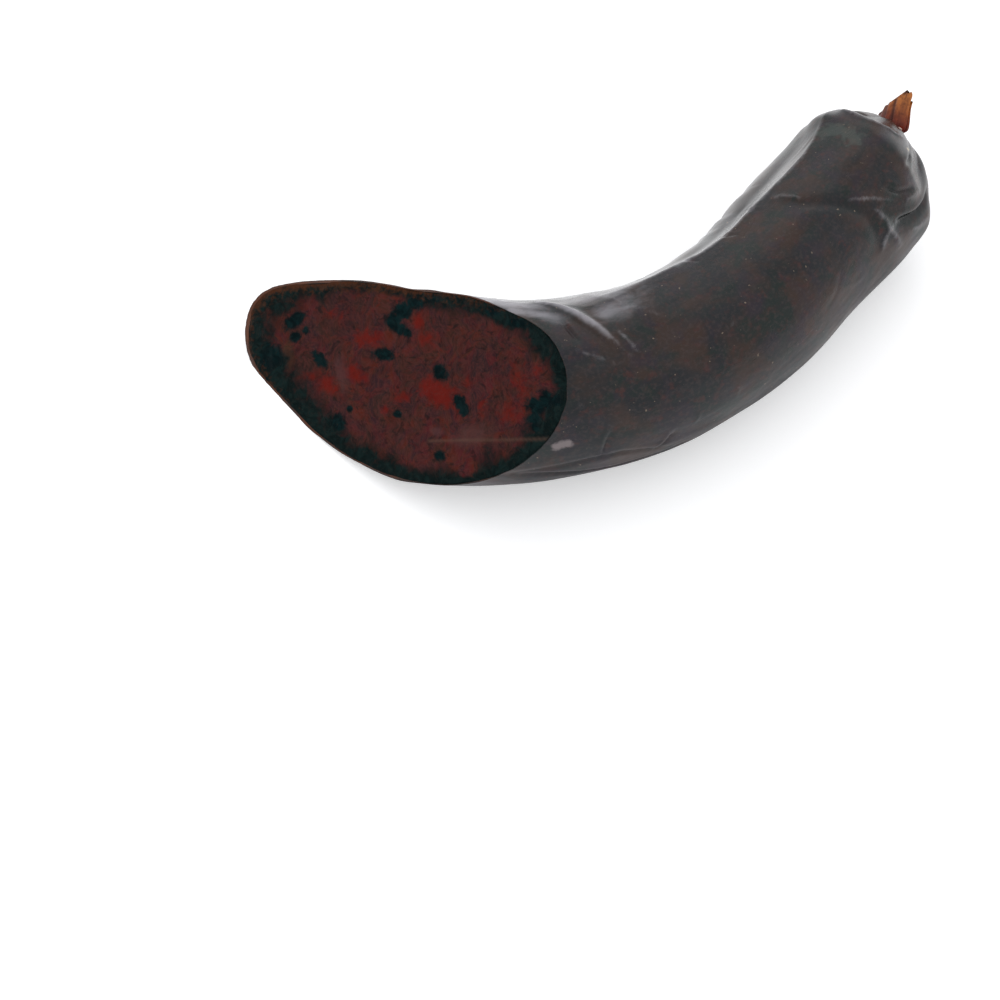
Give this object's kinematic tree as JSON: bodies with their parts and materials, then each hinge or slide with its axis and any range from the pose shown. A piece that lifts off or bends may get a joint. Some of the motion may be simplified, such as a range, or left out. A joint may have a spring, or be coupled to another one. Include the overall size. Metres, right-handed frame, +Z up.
{
  "type": "cured sausage",
  "caption": "Bent half of a dark cured sausage in a natural casing, cut on the slant at one end, gathered and tied at the other, lying on its side.",
  "frame": {"origin": "under the middle of the bounding box, on the surface the sausage lies on", "axes": "+X from the cut end towards the tied end, +Y towards the inside of the bend, +Z up"},
  "size_m": [0.1838, 0.1152, 0.0448],
  "materials": {
    "cured_meat": "moist cured meat, dark red with black crust and inclusions",
    "dried_gut": "thin dried gut over dark meat, satin, wrinkled",
    "cotton_thread": "thin cotton thread, stained by the meat"
  },
  "bodies": {
    "root": {"filling": "cured_meat", "casing": "dried_gut", "tie_thread": "cotton_thread"}
  },
  "joints": []
}
